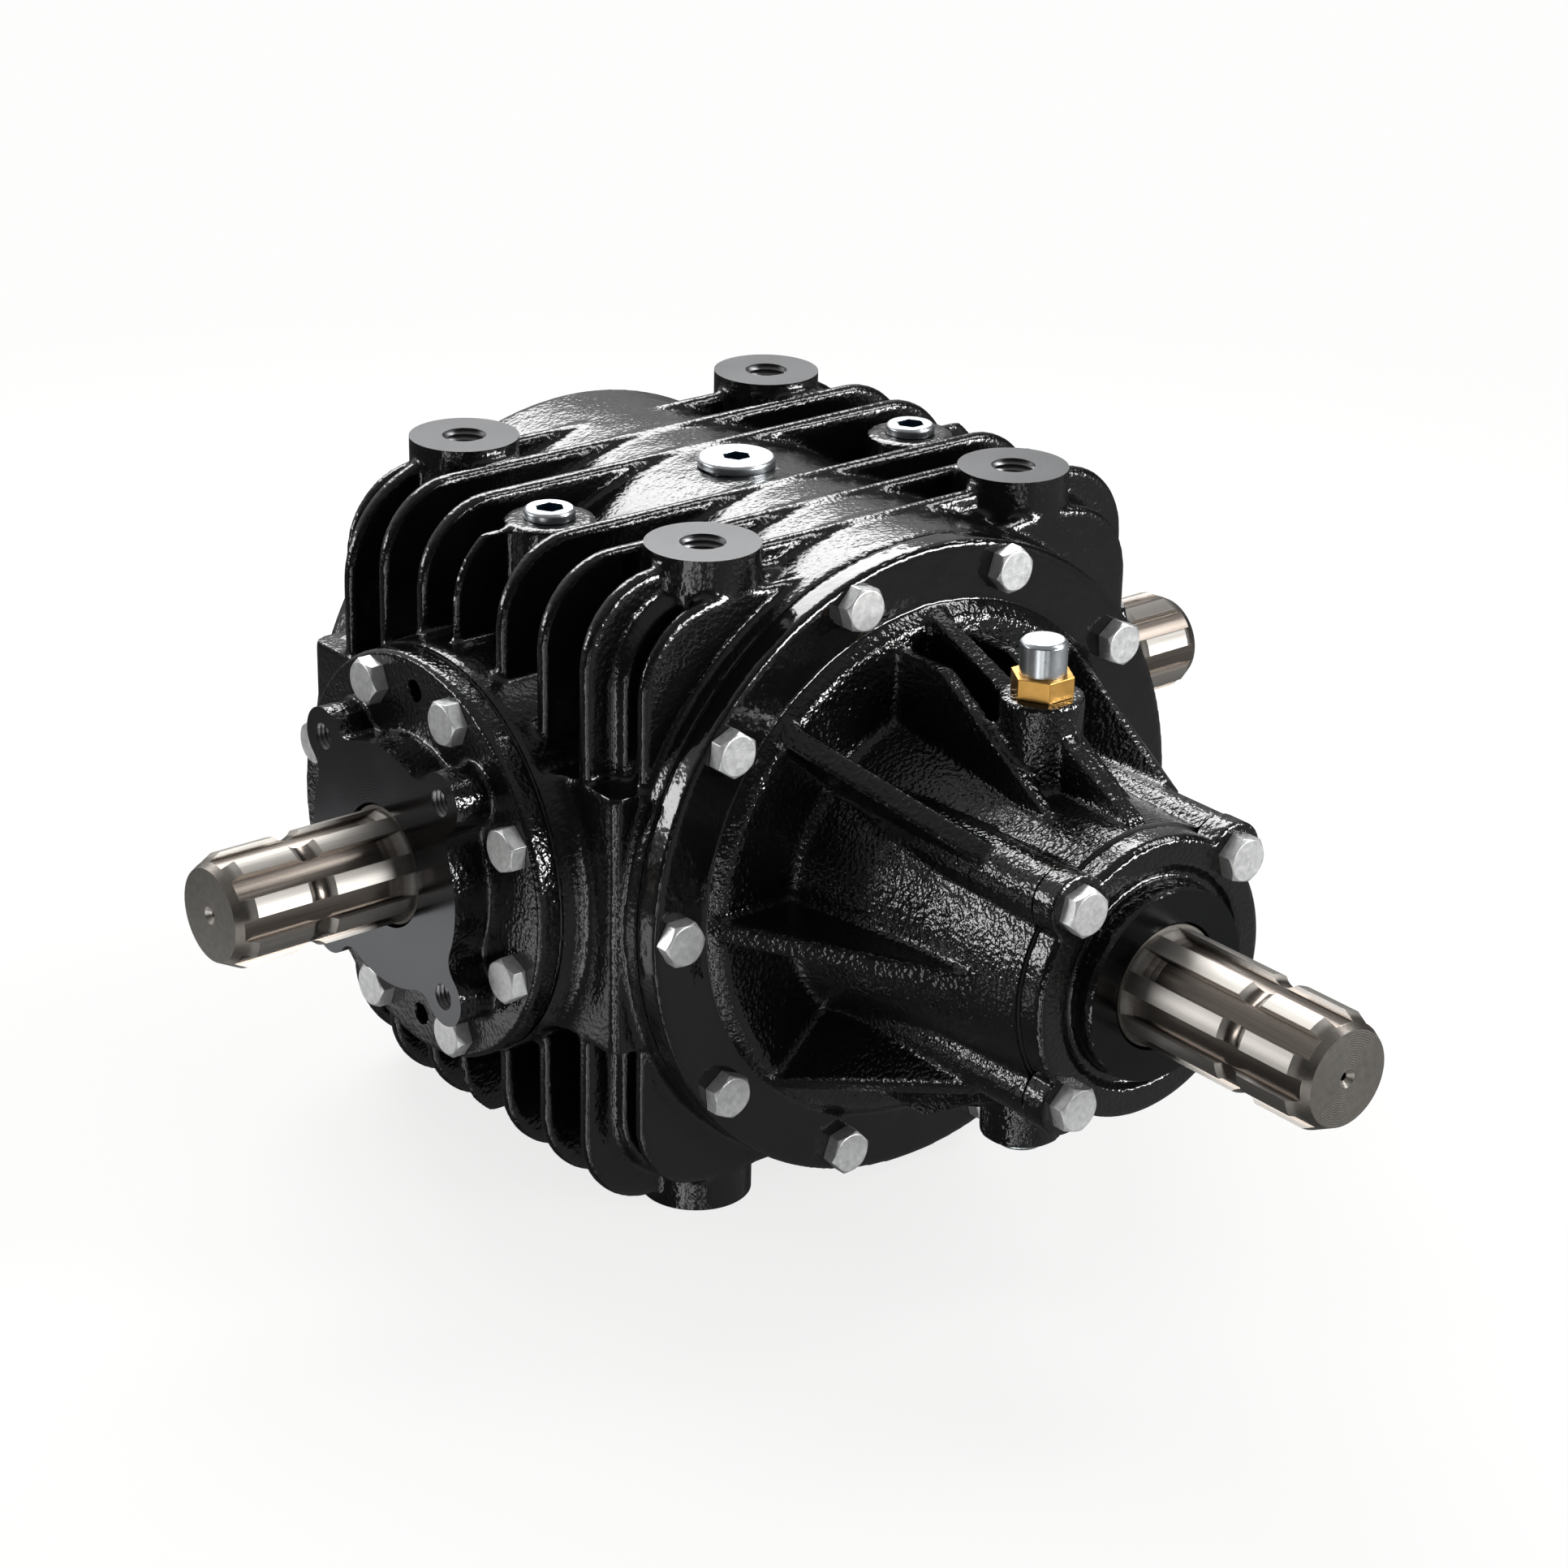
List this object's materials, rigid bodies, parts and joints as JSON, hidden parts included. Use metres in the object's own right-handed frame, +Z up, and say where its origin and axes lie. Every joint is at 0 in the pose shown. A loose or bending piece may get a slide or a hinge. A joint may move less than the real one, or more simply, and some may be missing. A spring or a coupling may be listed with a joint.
{
  "type": "right-angle bevel gearbox",
  "caption": "Finned cast-iron T gearbox: bevel pinion on a splined input shaft drives a crown gear on a splined output shaft that passes through both sides.",
  "frame": {"origin": "centre of the four lower mounting boss faces, under the point where the two shaft axes cross", "axes": "+X along the output shaft, -Y out along the input shaft, +Z up through the fill plug"},
  "size_m": [0.3942, 0.3691, 0.216],
  "materials": {
    "bearing_steel": "ground",
    "black_casting": "glossy black enamel over an as-cast skin",
    "brass": "turned",
    "bright_zinc": "bright zinc plated",
    "cage_steel": "pressed and phosphated",
    "gasket_sheet": "compressed fibre sheet",
    "gear_steel": "case-hardened",
    "seal_rubber": "moulded nitrile rubber over a steel ring",
    "shaft_steel": "hobbed and ground, lightly oiled",
    "shim_steel": "rolled sheet",
    "turned_steel": "turned",
    "zinc_steel": "zinc plated"
  },
  "bodies": {
    "case": {"breather_body": "brass", "breather_cap": "bright_zinc", "cap_bolts": "zinc_steel", "cap_gasket": "gasket_sheet", "cover_bolts": "zinc_steel", "cover_gasket": "gasket_sheet", "drain_plug": "bright_zinc", "fill_plug": "bright_zinc", "housing": "black_casting", "input_cap": "black_casting", "input_cover": "black_casting", "input_cup_front": "bearing_steel", "input_cup_rear": "bearing_steel", "input_seal": "seal_rubber", "level_plugs": "bright_zinc", "output_cup_left": "bearing_steel", "output_cup_right": "bearing_steel", "output_seal_left": "seal_rubber", "output_seal_right": "seal_rubber", "side_bolts_left": "zinc_steel", "side_bolts_right": "zinc_steel", "side_cover_left": "black_casting", "side_cover_right": "black_casting", "side_shim_left": "shim_steel", "side_shim_right": "shim_steel"},
    "output_drive": {"crown_gear": "gear_steel", "crown_key": "turned_steel", "output_cage_left": "cage_steel", "output_cage_right": "cage_steel", "output_cone_left": "bearing_steel", "output_cone_right": "bearing_steel", "output_rollers_left": "bearing_steel", "output_rollers_right": "bearing_steel", "output_shaft": "shaft_steel", "output_spacer_left": "turned_steel", "output_spacer_right": "turned_steel"},
    "input_drive": {"bevel_pinion": "gear_steel", "input_cage_front": "cage_steel", "input_cage_rear": "cage_steel", "input_cone_front": "bearing_steel", "input_cone_rear": "bearing_steel", "input_rollers_front": "bearing_steel", "input_rollers_rear": "bearing_steel", "input_shaft": "shaft_steel", "input_spacer": "turned_steel", "pinion_key": "turned_steel", "pinion_nut": "turned_steel"}
  },
  "joints": [
    {"name": "output_spin", "type": "hinge", "parent": "case", "child": "output_drive", "pos_m": [0, 0, 0.108], "axis": [1, 0, 0], "continuous": true},
    {"name": "input_spin", "type": "hinge", "parent": "case", "child": "input_drive", "pos_m": [0, 0, 0.108], "axis": [0, 1, 0], "continuous": true}
  ],
  "couplings": [
    {"joint": "input_spin", "follows": "output_spin", "ratio": 1.8}
  ]
}
